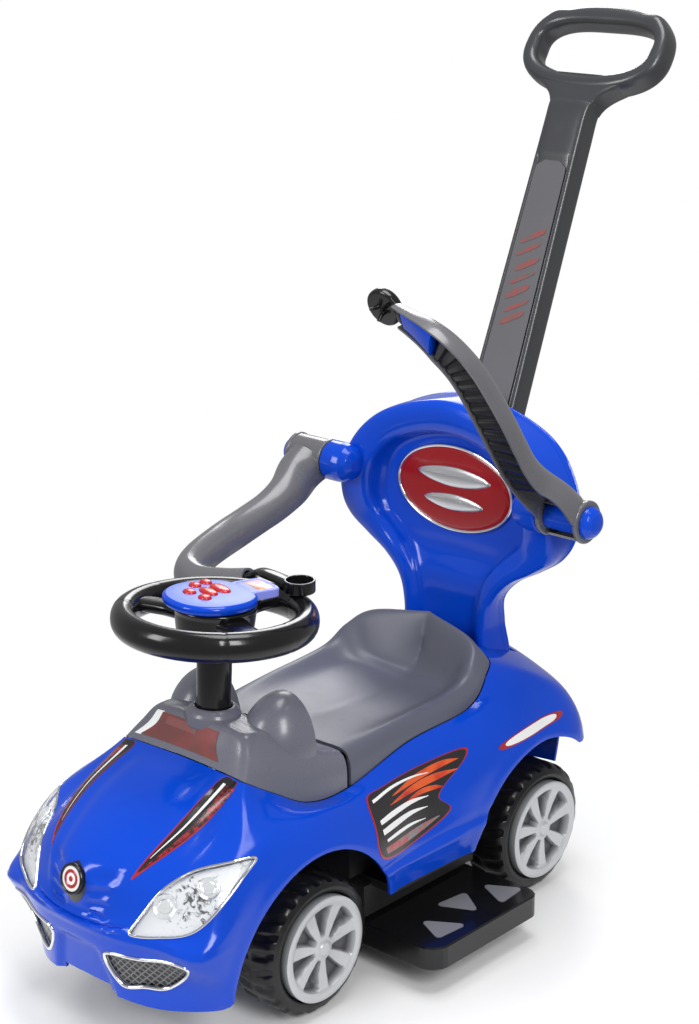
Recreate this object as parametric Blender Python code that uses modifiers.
"""A push-along ride-on car for a small child, 0.9 m tall to the top of its push handle.

Metres, +Z up, the car faces -Y and its left side is +X. The car's own axes have the floor at
z = 0, the middle of the wheelbase at y = 0 and the middle of its width at x = 0. The empty "car"
then centres the whole object on the origin. The guard arms show at rest as they were
photographed: the right one closed across the lap, the left one swung up.
"""
import math

import bmesh
import bpy
import numpy as np
from mathutils import Matrix, Vector

# Clearances
GAP = 0.0003  # between pieces that rest on each other
RUN = 0.0006  # around a piece that turns or slides

# Wheels and axles
WHEEL_R = 0.070
WHEELBASE = 0.349
TYRE_OUTER_X = 0.129
TYRE_WIDTH = 0.055
WHEEL_SEAT_R = 0.054  # the hubcap's pocket in the tyre
HUBCAP_FIT = 0.0008
HUBCAP_PROUD = 0.006  # the hubcap's face outside the tyre's side
HUBCAP_SPOKES = 7
AXLE_R = 0.004
AXLE_SHORT = 0.0235  # an axle's end inside the tyre's outer side
KINGPIN_INSET = 0.018  # kingpin inside the tyre's inner side
KINGPIN_R = 0.0042
KINGPIN_PLATES = ((0.034, 0.042), (0.096, 0.103))

# Blue body shell
WALL = 0.003
BODY_HALF_W = 0.139
NOSE_REACH = 0.1985  # bumper ledge ahead of the front axle
TAIL_REACH = 0.0885  # tail behind the rear axle
COWL_AHEAD = 0.0545  # cowl's front edge ahead of the front axle
HEM_Z = 0.066
LEDGE_Z = 0.131
BONNET_Z = 0.249
SILL_Z = 0.090
DECK_Z = 0.268
FRONT_ARCH_ROOM = 0.042  # between the tyre and the arch
FRONT_ARCH_Z = 0.062
FRONT_ARCH_AHEAD = 0.0125
REAR_ARCH_ROOM = 0.035
REAR_ARCH_Z = 0.075
REAR_ARCH_AHEAD = 0.0165
NOTCH_HALF_W = 0.032
NOTCH_H = 0.005
BADGE_R = 0.0135
LAMP_DEPTH = 0.007
LAMP_SHRINK = 0.965  # the lamp glass against its pocket

# Grey cowl and seat
SEAM_BEHIND = 0.0705  # the cowl's rear edge behind the front axle
SEAM_GAP = 0.0055  # between the cowl and the seat, which swings up beside it
SEAM_Z = 0.204
SEAT_Z = 0.240  # seat and cowl surface at the seam
DASH_Z = 0.2795
HOOD_X = 0.050
HOOD_RADII = (0.038, 0.045, 0.052)
HINGE_R = 0.0025
HINGE_PIN_R = 0.0012
HINGE_X = (0.046, 0.062)  # the cowl's knuckles
HINGE_END_X = 0.084

# Storage tub
TUB_HALF_X = 0.086
TUB_WALL = 0.002
TUB_RIM_DROP = 0.0175  # its rim below the seat surface at the seam

# Floor
PAN_HALF_X = 0.100
GUIDE_HALF_X = 0.075
GUIDE_THICK = 0.0035

# Steering
COLUMN_LEAN = 3.0  # degrees back from vertical
COLUMN_AHEAD = 0.0115  # column axis ahead of the front axle, at the dash
COLUMN_R = 0.017
COLLAR_WIDTH = 0.010
RIM_TOP_DROP = 0.0449  # the rim's top below the guard arms' pivots
RIM_R = 0.0875  # to the middle of the rim's section
RIM_HALF_W = 0.012
RIM_HALF_H = 0.0145
STEER_ROD_R = 0.004
CRANK = 0.0284
STEER_ARM = 0.035
STEER_TURN = 25  # degrees, the wheel to either side
KNUCKLE_TURN = 20  # degrees, the front wheels with it
ARM_PIN_R = 0.003
CRANK_PIN_R = 0.0032
PIN_ROOM = 0.0012  # around the pins in the tie bar's slots
TIE_LOW_Z = 0.1065
TIE_THICK = 0.004
SCREW_R = 0.0034
SCREW_Z = 0.322
SCREW_TURN = 35  # degrees round the column from its front
MODULE_HALF_X = 0.0455
MODULE_HALF_Y = 0.0440
MODULE_H = 0.0118
MODULE_TWIST = -15  # degrees, the screen end turned towards the car's left
MODULE_SHIFT = (-0.004, -0.0035)  # the module off the column's axis
BUTTON_TRAVEL = 0.0015

# Backrest
BACK_TOP_Z = 0.522
BACK_AHEAD = 0.0145  # its front ahead of the rear axle
BACK_HALF_W = 0.145
BACK_WALL = 0.003
BACK_DISH = 0.020
FOOT_HALF_W = 0.057
FOOT_DEPTH = 0.0555
COVER_BULGE = 0.010
MEDALLION_HALF_W = 0.079
MEDALLION_HALF_H = 0.048
MEDALLION_DROP = 0.0985  # its middle below the backrest's top
BEZEL_W = 0.004

# Guard arms
PIVOT_AHEAD = 0.015  # ahead of the backrest's front
PIVOT_DROP = 0.087  # below the backrest's top
ARM_OPEN = 68.6  # degrees, the left arm's rest
EAR_R = 0.022
EAR_THICK = 0.0045
FORK_WIDTH = 0.0415
SHANK_R = 0.006
BARREL_R = 0.015
CAP_R = 0.017
CAP_H = 0.012
ARM_WALL = 0.0025
HEAD_R = 0.020
HEAD_H = 0.0125
HOOK_H = 0.0095
HOOK_HALF = 0.0022
SOCKET_R = 0.0155
SOCKET_WALL = 0.0025
SOCKET_H = 0.0127

# Push handle
HANDLE_LEAN = 22.1  # degrees back from vertical
HANDLE_THICK = 0.031
HANDLE_DROP = 0.116  # its lower end below the backrest's top
HANDLE_BEHIND = 0.0335  # its lower end behind the backrest's front
HANDLE_RISE = 0.394
HANDLE_HALF_LOW = 0.033
HANDLE_HALF_NECK = 0.026
SLEEVE_WALL = 0.0035
SLEEVE_H = 0.079
RING_LEAN = 35.0
RING_OFFSET = 0.034
RING_HALF_W = 0.0815
RING_HALF_H = 0.040
RING_HALF_SECTION = 0.0095

# Footrests
REST_LOW_Z = 0.025
REST_H = 0.025
REST_X = (0.062, 0.194)
REST_BEHIND = 0.0925  # its front edge behind the front axle
REST_AHEAD = 0.0865  # its rear edge ahead of the rear axle
REST_WALL = 0.0025
REST_CORNER_R = 0.020

# Worked out from the sizes above
FRONT_AXLE_Y = -WHEELBASE / 2
REAR_AXLE_Y = WHEELBASE / 2
NOSE_Y = FRONT_AXLE_Y - NOSE_REACH
TAIL_Y = REAR_AXLE_Y + TAIL_REACH
COWL_Y = FRONT_AXLE_Y - COWL_AHEAD
SEAM_Y = FRONT_AXLE_Y + SEAM_BEHIND
MID_Y = -0.015
TYRE_INNER_X = TYRE_OUTER_X - TYRE_WIDTH
KINGPIN_X = TYRE_INNER_X - KINGPIN_INSET
AXLE_END_X = TYRE_OUTER_X - AXLE_SHORT
HUBCAP_R = WHEEL_SEAT_R - HUBCAP_FIT
COLUMN_Y = FRONT_AXLE_Y - COLUMN_AHEAD
COLLAR_R = COLUMN_R + COLLAR_WIDTH
COLUMN_BORE_R = STEER_ROD_R + RUN
TIE_TOP_Z = TIE_LOW_Z + TIE_THICK
BACK_FRONT_Y = REAR_AXLE_Y - BACK_AHEAD
BACK_RISE = (BACK_TOP_Z - DECK_Z) / 0.254  # stretches the backrest's outline to its height
PIVOT_Y = BACK_FRONT_Y - PIVOT_AHEAD
PIVOT_Z = BACK_TOP_Z - PIVOT_DROP
RIM_Z = PIVOT_Z - RIM_TOP_DROP - RIM_HALF_H
MEDALLION_Z = BACK_TOP_Z - MEDALLION_DROP * BACK_RISE
BOSS_X = BACK_HALF_W + 0.0012
EAR_INNER = (BOSS_X + RUN, BOSS_X + RUN + EAR_THICK)
EAR_OUTER = (EAR_INNER[1] + FORK_WIDTH, EAR_INNER[1] + FORK_WIDTH + EAR_THICK)
ARM_X = (EAR_INNER[0] + EAR_OUTER[1]) / 2
ARM_STRETCH = (PIVOT_Y - COLUMN_Y - 0.064) / 0.267  # fits the arms' reach to the steering wheel
HINGE_Y = SEAM_Y + SEAM_GAP
HINGE_Z = SEAT_Z - WALL - HINGE_R - GAP
HANDLE_LOW_Z = BACK_TOP_Z - HANDLE_DROP
HANDLE_LOW_Y = BACK_FRONT_Y + HANDLE_BEHIND
HANDLE_NECK_Z = HANDLE_LOW_Z + HANDLE_RISE
REST_Z = (REST_LOW_Z, REST_LOW_Z + REST_H)
REST_Y = (FRONT_AXLE_Y + REST_BEHIND, REAR_AXLE_Y - REST_AHEAD)
PAN_Y = (FRONT_AXLE_Y + 0.0945, REAR_AXLE_Y - 0.0805)
PAN_Z = (REST_Z[1] + 0.004, SILL_Z - 0.002)
LEAN = math.radians(COLUMN_LEAN)
BEAM = math.radians(HANDLE_LEAN)
RING = math.radians(RING_LEAN)


def clear_scene():
    for obj in list(bpy.data.objects):
        bpy.data.objects.remove(obj)


def new_collection(name):
    made = bpy.data.collections.new(name)
    bpy.context.scene.collection.children.link(made)
    return made


def material(name, color, roughness, metallic=0.0):
    made = bpy.data.materials.new(name)
    made.use_nodes = True
    shader = made.node_tree.nodes["Principled BSDF"]
    shader.inputs["Base Color"].default_value = (*color, 1.0)
    shader.inputs["Roughness"].default_value = roughness
    shader.inputs["Metallic"].default_value = metallic
    return made


clear_scene()
PARTS = new_collection("ride_on_car")
CUTTERS = new_collection("cutters")
BLUE = material("blue_gloss", (0.02, 0.10, 0.62), 0.18)
GREY = material("grey_satin", (0.17, 0.17, 0.18), 0.38)
BLACK = material("black_satin", (0.02, 0.02, 0.022), 0.42)
TYRE = material("tyre_black", (0.018, 0.018, 0.02), 0.70)
SILVER = material("silver_paint", (0.62, 0.63, 0.64), 0.30, 0.6)
STEEL = material("steel", (0.58, 0.58, 0.58), 0.30, 1.0)
RED = material("red_gloss", (0.55, 0.02, 0.02), 0.22)
PAD = material("pad_grey", (0.11, 0.12, 0.15), 0.50)
LAMP = material("lamp_clear", (0.85, 0.87, 0.90), 0.08)
SCREEN = material("screen_pink", (0.72, 0.36, 0.30), 0.25)


def empty(name, location, rotation=(0, 0, 0), parent=None):
    made = bpy.data.objects.new(name, None)
    PARTS.objects.link(made)
    made.location = location
    made.rotation_euler = rotation
    made.parent = parent
    return made


def add(name, mesh, look, parent=None, location=(0, 0, 0), rotation=(0, 0, 0)):
    """A part of the car, placed under the car's empty or under the empty of its moving body."""
    made = bpy.data.objects.new(name, mesh)
    PARTS.objects.link(made)
    made.parent = parent or CAR
    made.location = location
    made.rotation_euler = rotation
    mesh.materials.clear()
    mesh.materials.append(look)
    return made


def helper(name, mesh, like):
    """A hidden tool shape in the same place as the part that it cuts or joins."""
    made = bpy.data.objects.new(name, mesh)
    CUTTERS.objects.link(made)
    made.parent = like.parent
    made.location = like.location
    made.rotation_euler = like.rotation_euler
    made.hide_render = True
    made.display_type = "WIRE"
    return made


def boolean(obj, mesh, operation):
    name = f"{obj.name}_{operation.lower()}_{len(obj.modifiers)}"
    tool = helper(name, mesh, obj)
    modifier = obj.modifiers.new(name, "BOOLEAN")
    modifier.operation = operation
    modifier.object = tool
    return tool


def cut(obj, mesh):
    return boolean(obj, mesh, "DIFFERENCE")


def join(obj, mesh):
    return boolean(obj, mesh, "UNION")


def mirror(obj):
    modifier = obj.modifiers.new("halves", "MIRROR")
    modifier.merge_threshold = 0.00001
    return modifier


def solidify(obj, thickness, offset=-1.0):
    modifier = obj.modifiers.new("wall", "SOLIDIFY")
    modifier.thickness = thickness
    modifier.offset = offset
    return modifier


def bevel(obj, width, segments=1):
    modifier = obj.modifiers.new("edges", "BEVEL")
    modifier.width = width
    modifier.segments = segments
    modifier.limit_method = "ANGLE"
    modifier.angle_limit = math.radians(40)
    return modifier


def finish_mesh(form, name):
    bmesh.ops.recalc_face_normals(form, faces=form.faces)
    mesh = bpy.data.meshes.new(name)
    form.to_mesh(mesh)
    form.free()
    mesh.shade_smooth()
    mesh.set_sharp_from_angle(angle=math.radians(35))
    return mesh


def box(name, x, y, z):
    """A box between two values along each axis."""
    form = bmesh.new()
    size = (x[1] - x[0], y[1] - y[0], z[1] - z[0])
    middle = ((x[0] + x[1]) / 2, (y[0] + y[1]) / 2, (z[0] + z[1]) / 2)
    bmesh.ops.create_cube(form, size=1, matrix=Matrix.Translation(middle) @ Matrix.Diagonal((*size, 1)))
    return finish_mesh(form, name)


def rod(name, start, end, radius, segments=16, end_radius=None):
    """A cylinder or cone between two points."""
    start, end = Vector(start), Vector(end)
    form = bmesh.new()
    turn = (end - start).to_track_quat("Z", "Y").to_matrix().to_4x4()
    bmesh.ops.create_cone(
        form, cap_ends=True, segments=segments, radius1=radius,
        radius2=radius if end_radius is None else end_radius, depth=(end - start).length,
        matrix=Matrix.Translation((start + end) / 2) @ turn,
    )
    return finish_mesh(form, name)


def prism(name, outline, low, high):
    """A flat outline in X and Y, raised from one height to another."""
    form = bmesh.new()
    corners = [form.verts.new((x, y, low)) for x, y in outline]
    form.faces.new(corners)
    grown = bmesh.ops.extrude_face_region(form, geom=list(form.faces))
    raised = [item for item in grown["geom"] if isinstance(item, bmesh.types.BMVert)]
    bmesh.ops.translate(form, verts=raised, vec=(0, 0, high - low))
    return finish_mesh(form, name)


def rounded_polygon(corners, radius, steps=4):
    """The corners of a polygon in X and Y, each rounded to the given radius."""
    points = []
    count = len(corners)
    for index, corner in enumerate(corners):
        here = Vector(corner)
        before = (Vector(corners[index - 1]) - here).normalized()
        after = (Vector(corners[(index + 1) % count]) - here).normalized()
        half = before.angle(after) / 2
        centre = here + (before + after).normalized() * (radius / math.sin(half))
        first = here + before * (radius / math.tan(half)) - centre
        second = here + after * (radius / math.tan(half)) - centre
        for step in range(steps + 1):
            arm = first.lerp(second, step / steps).normalized() * radius
            points.append(tuple(centre + arm))
    return points


def turned(name, profile, look, steps, parent=None, location=(0, 0, 0), rotation=(0, 0, 0), ring=False):
    """A turned part: a profile of (radius, height) points, down its outer side, spun about Z."""
    mesh = bpy.data.meshes.new(name)
    points = [(radius, 0.0, height) for radius, height in profile]
    edges = [(i, i + 1) for i in range(len(points) - 1)]
    if ring:
        edges.append((len(points) - 1, 0))
    mesh.from_pydata(points, edges, [])
    made = add(name, mesh, look, parent, location, rotation)
    spin = made.modifiers.new("spin", "SCREW")
    spin.steps = steps
    spin.render_steps = steps
    spin.use_merge_vertices = True
    spin.merge_threshold = 0.00001
    spin.use_smooth_shade = True
    return made


def between(a, b, t):
    return tuple(np.asarray(a) * (1 - t) + np.asarray(b) * t)


def smooth_at(points, t, closed=False, mirrored=False):
    """The Catmull-Rom curve through the points at parameter t, where point i has t = i."""
    points = np.asarray(points, float)
    count = len(points)
    flip = np.ones(points.shape[-1])
    flip[0] = -1
    if closed:
        padded = np.concatenate([points[-1:], points, points[:2]])
        start = int(math.floor(t)) % count
    else:
        first = points[1] * flip if mirrored else 2 * points[0] - points[1]
        last = points[-2] * flip if mirrored else 2 * points[-1] - points[-2]
        padded = np.concatenate([[first], points, [last]])
        start = min(max(int(math.floor(t)), 0), count - 2)
    a, b, c, d = padded[start : start + 4]
    f = t - math.floor(t) if closed else t - start
    return 0.5 * (2 * b + (c - a) * f + (2 * a - 5 * b + 4 * c - d) * f**2 + (3 * b - a - 3 * c + d) * f**3)


def smooth_line(points, steps, closed=False, mirrored=False):
    count = len(points) * steps if closed else (len(points) - 1) * steps + 1
    return np.array([smooth_at(points, i / steps, closed, mirrored) for i in range(count)])


def smooth_grid(rows, along, across, mirrored=True):
    """Rows of points made finer both ways. With mirrored, the first and last row lie on x = 0."""
    fine = smooth_line(np.asarray(rows, float), along, mirrored=mirrored)
    return np.array([smooth_line(row, across) for row in fine])


def grid_mesh(name, grid, wrap_rows=False, wrap_points=False, caps=False):
    """A loft: faces between neighbouring rows of points, which may each close on themselves."""
    grid = np.asarray(grid, float)
    rows, points = grid.shape[:2]
    form = bmesh.new()
    verts = [[form.verts.new(point) for point in row] for row in grid]
    for i in range(rows if wrap_rows else rows - 1):
        for j in range(points if wrap_points else points - 1):
            ring = [verts[i][j], verts[(i + 1) % rows][j]]
            ring += [verts[(i + 1) % rows][(j + 1) % points], verts[i][(j + 1) % points]]
            form.faces.new(ring)
    if caps:
        form.faces.new(verts[0])
        form.faces.new(verts[-1][::-1])
    bmesh.ops.remove_doubles(form, verts=form.verts, dist=0.000001)
    return finish_mesh(form, name)


CAR = empty("car", (0, 0, 0))


def body_rows():
    """Half of the body: 12 stations from the nose round the left side to the tail, 7 levels up.

    The levels are the hem, the lower face, the ledge, the face above it, the shoulder, the top
    and the edge of the opening for the cowl and the seat.
    """
    front, rear, wide = FRONT_AXLE_Y, REAR_AXLE_Y, BODY_HALF_W
    nose, tail, cowl = NOSE_Y, TAIL_Y, COWL_Y
    hem, ledge, top, sill, deck = HEM_Z, LEDGE_Z, BONNET_Z, SILL_Z, DECK_Z
    return [
        [(0, nose + 0.013, hem), (0, nose + 0.007, hem + 0.032), (0, nose, ledge),
         (0, nose + 0.004, ledge + 0.015), (0, nose + 0.011, ledge + 0.054),
         (0, nose + 0.071, top - 0.025), (0, cowl, top)],
        [(0.046, nose + 0.016, hem - 0.003), (0.048, nose + 0.011, hem + 0.030),
         (0.050, nose + 0.005, ledge - 0.001), (0.047, nose + 0.010, ledge + 0.015),
         (0.058, nose + 0.030, ledge + 0.055), (0.067, nose + 0.081, top - 0.030),
         (0.061, cowl - 0.001, top - 0.001)],
        [(0.085, nose + 0.035, hem - 0.009), (0.088, nose + 0.030, hem + 0.026),
         (0.092, nose + 0.019, ledge - 0.003), (0.092, nose + 0.025, ledge + 0.012),
         (0.095, nose + 0.052, ledge + 0.051), (0.090, nose + 0.101, top - 0.037),
         (0.079, cowl, top - 0.003)],
        [(wide - 0.015, nose + 0.067, hem - 0.008), (wide - 0.009, nose + 0.057, hem + 0.024),
         (wide - 0.005, nose + 0.037, ledge - 0.008), (wide - 0.007, nose + 0.051, ledge + 0.014),
         (wide - 0.012, nose + 0.080, ledge + 0.054), (wide - 0.026, nose + 0.114, top - 0.038),
         (0.085, cowl + 0.007, top - 0.007)],
        [(wide - 0.003, front - 0.112, hem + 0.004), (wide - 0.0015, front - 0.109, hem + 0.034),
         (wide, front - 0.102, ledge + 0.001), (wide - 0.0005, front - 0.088, ledge + 0.034),
         (wide - 0.007, front - 0.066, ledge + 0.066), (wide - 0.022, front - 0.045, top - 0.034),
         (0.090, front - 0.021, top - 0.023)],
        [(wide - 0.003, front - 0.003, hem + 0.004), (wide - 0.001, front - 0.003, hem + 0.036),
         (wide, front - 0.004, ledge + 0.007), (wide - 0.001, front, ledge + 0.039),
         (wide - 0.008, front + 0.004, ledge + 0.063), (wide - 0.020, front + 0.010, ledge + 0.076),
         (0.098, front + 0.018, SEAM_Z + 0.002)],
        [(wide - 0.006, front + 0.088, sill), (wide - 0.002, front + 0.087, sill + 0.022),
         (wide - 0.003, front + 0.084, sill + 0.048), (wide - 0.008, front + 0.082, sill + 0.073),
         (wide - 0.016, front + 0.080, sill + 0.094), (wide - 0.026, front + 0.078, sill + 0.108),
         (0.101, SEAM_Y, SEAM_Z)],
        [(wide - 0.008, MID_Y, sill), (wide - 0.005, MID_Y, sill + 0.022),
         (wide - 0.012, MID_Y, sill + 0.046), (wide - 0.018, MID_Y, sill + 0.075),
         (wide - 0.024, MID_Y, sill + 0.100), (wide - 0.030, MID_Y, sill + 0.120),
         (0.102, MID_Y, sill + 0.134)],
        [(wide - 0.006, rear - 0.125, sill), (wide - 0.001, rear - 0.124, sill + 0.024),
         (wide - 0.001, rear - 0.117, sill + 0.058), (wide - 0.004, rear - 0.111, sill + 0.090),
         (wide - 0.012, rear - 0.105, sill + 0.118), (wide - 0.023, rear - 0.102, sill + 0.136),
         (0.105, rear - 0.099, sill + 0.142)],
        [(wide - 0.003, rear - 0.025, sill), (wide, rear - 0.025, sill + 0.028),
         (wide + 0.002, rear - 0.023, sill + 0.065), (wide, rear - 0.020, sill + 0.102),
         (wide - 0.009, rear - 0.019, sill + 0.138), (wide - 0.022, rear - 0.030, deck - 0.022),
         (0.100, rear - 0.063, deck - 0.012)],
        [(wide - 0.021, rear + 0.068, sill + 0.022), (wide - 0.015, rear + 0.073, sill + 0.048),
         (wide - 0.012, rear + 0.073, sill + 0.072), (wide - 0.017, rear + 0.063, sill + 0.104),
         (wide - 0.026, rear + 0.041, sill + 0.134), (wide - 0.041, rear + 0.005, deck - 0.020),
         (0.078, rear - 0.037, deck - 0.002)],
        [(0, tail - 0.005, sill + 0.010), (0, tail - 0.001, sill + 0.045), (0, tail, sill + 0.075),
         (0, tail - 0.001, sill + 0.106), (0, tail - 0.007, sill + 0.134),
         (0, tail - 0.035, deck - 0.022), (0, rear - 0.023, deck)],
    ]


BODY_ROWS = np.array(body_rows())
SEAM_STATION = 6
LAST_STATION = len(BODY_ROWS) - 1
EDGE_LEVEL = BODY_ROWS.shape[1] - 1


def body_point(station, level):
    """The body's outer surface at a station round the car and a level up its side."""
    row = smooth_at(BODY_ROWS, station, mirrored=True)
    return smooth_at(row, level)


def body_normal(station, level):
    """Out of the body, square to its surface."""
    step = 0.02
    along = body_point(station + step, level) - body_point(station - step, level)
    up = body_point(station, level + step) - body_point(station, level - step)
    normal = np.cross(along, up)
    return normal / np.linalg.norm(normal)


def body_patch(name, outline, low, high, shrink=1.0, side=1):
    """A slab that follows the body inside an outline of (station, level) points.

    low and high are its depths along the surface's normal, out of the body being positive.
    """
    outline = np.asarray(outline, float)
    middle = outline.mean(axis=0)
    rings = [middle + (outline - middle) * share * shrink for share in (0.02, 0.5, 1.0)]
    flip = np.array([side, 1, 1])

    def layer(depth, ring):
        return [(body_point(*at) + body_normal(*at) * depth) * flip for at in ring]

    rows = [layer(high, ring) for ring in rings] + [layer(low, ring) for ring in rings[::-1]]
    return grid_mesh(name, rows, wrap_points=True, caps=True)


HEADLIGHT = [(1.40, 2.55), (1.53, 3.50), (1.72, 3.98), (2.15, 4.33), (3.00, 4.50), (3.55, 4.22),
             (3.33, 3.93), (3.05, 3.60), (2.60, 3.10), (2.00, 2.80)]
FOG_GRILLE = [(0.72, 1.36), (1.60, 1.52), (2.60, 1.65), (2.15, 0.77), (1.60, 0.62), (1.05, 0.50)]


def body_shell():
    """The blue body: open below and open on top, with four wheel arches."""
    made = add("body_shell", grid_mesh("body_shell", smooth_grid(BODY_ROWS, 2, 1)), BLUE)
    mirror(made)
    solidify(made, WALL)
    inner, outer = TYRE_INNER_X + 0.018, BODY_HALF_W + 0.03
    rear_y, rear_r = REAR_AXLE_Y - REAR_ARCH_AHEAD, WHEEL_R + REAR_ARCH_ROOM
    front_y, front_r = FRONT_AXLE_Y - FRONT_ARCH_AHEAD, WHEEL_R + FRONT_ARCH_ROOM
    arches = ((front_y, FRONT_ARCH_Z, front_r), (rear_y, REAR_ARCH_Z, rear_r))
    for side in (1, -1):
        for y, z, radius in arches:
            cut(made, rod("arch", (side * inner, y, z), (side * outer, y, z), radius, 32))
        cut(made, box("tail_arch", sorted((side * (inner - 0.004), side * outer)),
                      (rear_y + rear_r * 0.62, TAIL_Y + 0.03), (SILL_Z - 0.03, SILL_Z + 0.067)))
        cut(made, body_patch("headlight_pocket", HEADLIGHT, -LAMP_DEPTH, 0.004, side=side))
        cut(made, body_patch("grille_pocket", FOG_GRILLE, -LAMP_DEPTH, 0.004, side=side))
    cut(made, box("hem_notch", (-NOTCH_HALF_W, NOTCH_HALF_W), (NOSE_Y - 0.02, NOSE_Y + 0.04),
                  (HEM_Z - 0.02, HEM_Z + NOTCH_H)))
    half, front, back = FOOT_HALF_W + 0.0035, BACK_FRONT_Y - 0.001, BACK_FRONT_Y + FOOT_DEPTH
    corners = [(-half, front), (half, front), (half, back), (-half, back)]
    cut(made, prism("deck_socket", rounded_polygon(corners, 0.004, 2), DECK_Z - 0.05, DECK_Z + 0.03))


def headlights_and_grilles():
    """Clear lamp glasses over silver reflectors, and the fog grilles in the bumper."""
    for side, hand in ((1, "left"), (-1, "right")):
        glass = body_patch("glass", HEADLIGHT, -0.0019, -0.0003, LAMP_SHRINK, side)
        add(f"headlight_lens_{hand}", glass, LAMP)
        bowl = body_patch("bowl", HEADLIGHT, 0.001 - LAMP_DEPTH, -0.0035, LAMP_SHRINK, side)
        add(f"headlight_reflector_{hand}", bowl, SILVER)
        plate = body_patch("plate", FOG_GRILLE, 0.001 - LAMP_DEPTH, -0.0012, LAMP_SHRINK, side)
        add(f"fog_grille_{hand}", plate, SILVER)


def nose_badge():
    """A round badge let into the nose."""
    station, level = 0.0, 3.72
    place = body_point(station, level)
    normal = body_normal(station, level)
    turn = Vector(normal).to_track_quat("Z", "Y").to_euler()
    half = 0.0035
    profile = [(0, half * 0.8), (BADGE_R * 0.7, half * 0.8), (BADGE_R - 0.0015, half),
               (BADGE_R, half * 0.5), (BADGE_R, -half), (0, -half)]
    turned("nose_badge", profile, SILVER, 24, location=place, rotation=turn)
    pocket = rod("badge_pocket", place - normal * (half + GAP), place + normal * 0.01, BADGE_R + GAP, 24)
    cut(bpy.data.objects["body_shell"], pocket)


def edge_point(station, inset, lift):
    """A point just inside the edge of the body's opening."""
    step = 0.02
    here = body_point(station, EDGE_LEVEL)
    along = body_point(station + step, EDGE_LEVEL) - body_point(station - step, EDGE_LEVEL)
    inward = np.array([-along[1], along[0], 0])
    inward /= np.linalg.norm(inward)
    if station in (0, LAST_STATION):
        inward[0] = 0
    return here + inward * inset + np.array([0, 0, lift])


def filled_opening(first, rows, seam_y, across):
    """Half of a cover inside the body's opening, from the opening's edge to the centre line."""
    inset, lift = 0.0014, 0.0005
    grid = []
    for index, row in enumerate(smooth_line(np.array(rows), 2)):
        station = first + index / 2
        edge = edge_point(station, inset, lift)
        if station == SEAM_STATION:
            edge[1] = seam_y
        line = np.concatenate([[edge], row])
        if station in (0, LAST_STATION):
            line[:, 0] = 0
        line[-1, 0] = 0
        grid.append(smooth_line(line, across))
    return np.array(grid)


def hood(name, side, shrink, base_z):
    """A rounded gauge hood, cut off flat below and at the back."""
    radii = [radius - shrink for radius in HOOD_RADII]
    centre = Vector((side * HOOD_X, COWL_Y + 0.087, SEAT_Z + 0.010))
    form = bmesh.new()
    bmesh.ops.create_uvsphere(form, u_segments=14, v_segments=7, radius=1,
                              matrix=Matrix.Translation(centre) @ Matrix.Diagonal((*radii, 1)))
    cuts = (((0, centre.y + 0.007 - shrink, 0), (0, 1, 0)), ((0, 0, base_z), (0, 0, -1)))
    for point, normal in cuts:
        geometry = list(form.verts) + list(form.edges) + list(form.faces)
        found = bmesh.ops.bisect_plane(form, geom=geometry, plane_co=point, plane_no=normal,
                                       clear_outer=True)
        rim = [item for item in found["geom_cut"] if isinstance(item, bmesh.types.BMEdge)]
        bmesh.ops.contextual_create(form, geom=rim)
    return finish_mesh(form, name)


def hinge_rod(name, x, radius):
    return rod(name, (x[0], HINGE_Y, HINGE_Z), (x[1], HINGE_Y, HINGE_Z), radius, 12)


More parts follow.
